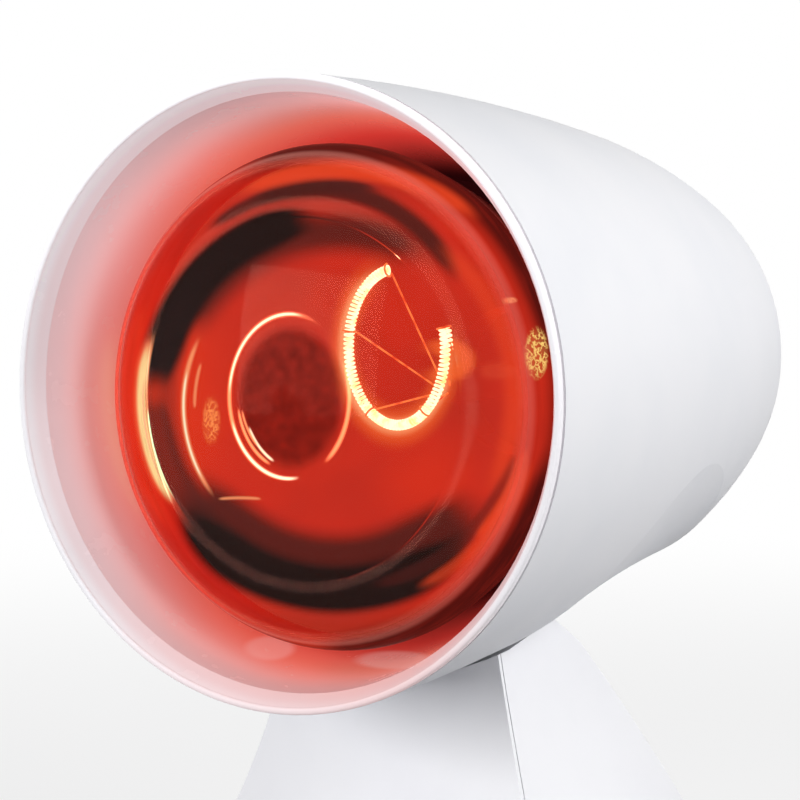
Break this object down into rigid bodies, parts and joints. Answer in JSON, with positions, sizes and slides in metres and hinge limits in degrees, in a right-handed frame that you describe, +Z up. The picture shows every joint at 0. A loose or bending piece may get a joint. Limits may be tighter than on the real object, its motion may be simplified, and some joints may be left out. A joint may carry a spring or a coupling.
{
  "type": "infrared heat therapy lamp",
  "caption": "Tabletop heat lamp: a bullet-shaped white shade with a red reflector bulb, tilting on a flared weighted foot.",
  "frame": {"origin": "middle of the lamp's footprint box, in the plane it stands on", "axes": "+Z up; the lamp shines towards -Y, its tail points to +Y; +X is across the hinge pin"},
  "size_m": [0.13, 0.168, 0.1863],
  "materials": {
    "white_paint": "satin white moulded shell",
    "shade_white": "glossy white inner shade",
    "ceramic": "glazed off-white ceramic",
    "steel": "brushed sheet steel",
    "brass": "satin brass",
    "screw_steel": "zinc-plated steel",
    "red_glass": "deep red glass",
    "mirror_coat": "bright reflecting coat",
    "cap_metal": "thin rolled metal cap",
    "dark_glass": "black glass insulator",
    "solder": "dull solder",
    "clear_glass": "clear glass",
    "glowing_wire": "glowing coiled wire",
    "support_wire": "thin molybdenum wire",
    "pin_steel": "turned steel",
    "bush_plastic": "natural nylon",
    "inner_plastic": "matt grey-white moulding",
    "spring_steel": "drawn spring wire",
    "white_plastic": "satin white moulding",
    "ballast_iron": "rough cast plate",
    "rubber": "soft dark rubber",
    "gland_rubber": "white moulded rubber",
    "switch_black": "textured black plastic",
    "switch_black_gloss": "glossy black plastic"
  },
  "bodies": {
    "foot": {"foot_front": "white_plastic", "foot_rear": "white_plastic", "base_plate": "inner_plastic", "ballast_plate": "ballast_iron", "rubber_feet": "rubber", "base_screws": "screw_steel", "hinge_pin": "pin_steel", "hinge_bushes": "bush_plastic", "hinge_washers": "steel", "hinge_nut": "screw_steel", "brake_block": "inner_plastic", "brake_spring": "spring_steel", "cord_gland": "gland_rubber", "switch_frame": "switch_black", "switch_tabs": "brass"},
    "head": {"head_shell": "white_paint", "inner_shade": "shade_white", "lampholder": "ceramic", "lampholder_plate": "steel", "socket_sleeve": "brass", "centre_contact": "brass", "carrier_screws": "screw_steel", "holder_screws": "screw_steel"},
    "bulb": {"bulb_glass": "red_glass", "bulb_mirror": "mirror_coat", "bulb_cap": "cap_metal", "cap_insulator": "dark_glass", "cap_contact": "solder", "glass_stem": "clear_glass", "filament": "glowing_wire", "filament_supports": "support_wire"},
    "plunger": {"brake_plunger": "bush_plastic"},
    "rocker": {"switch_rocker": "switch_black_gloss"}
  },
  "joints": [
    {"name": "head_tilt", "type": "hinge", "parent": "foot", "child": "head", "pos_m": [0, -0.022, 0.068], "axis": [-1, 0, 0], "range_deg": [0, 40]},
    {"name": "bulb_out", "type": "slide", "parent": "head", "child": "bulb", "axis": [0, -1, 0], "range_m": [0, 0.145]},
    {"name": "brake_push", "type": "slide", "parent": "foot", "child": "plunger", "axis": [0, 0, -1], "range_m": [0, 0.0008], "stiffness_N_per_m": 900, "springref_m": -0.003, "deforming": ["brake_spring"]},
    {"name": "switch_tip", "type": "hinge", "parent": "foot", "child": "rocker", "pos_m": [0, 0.0384, 0.033], "axis": [1, 0, 0], "range_deg": [0, 12]}
  ]
}
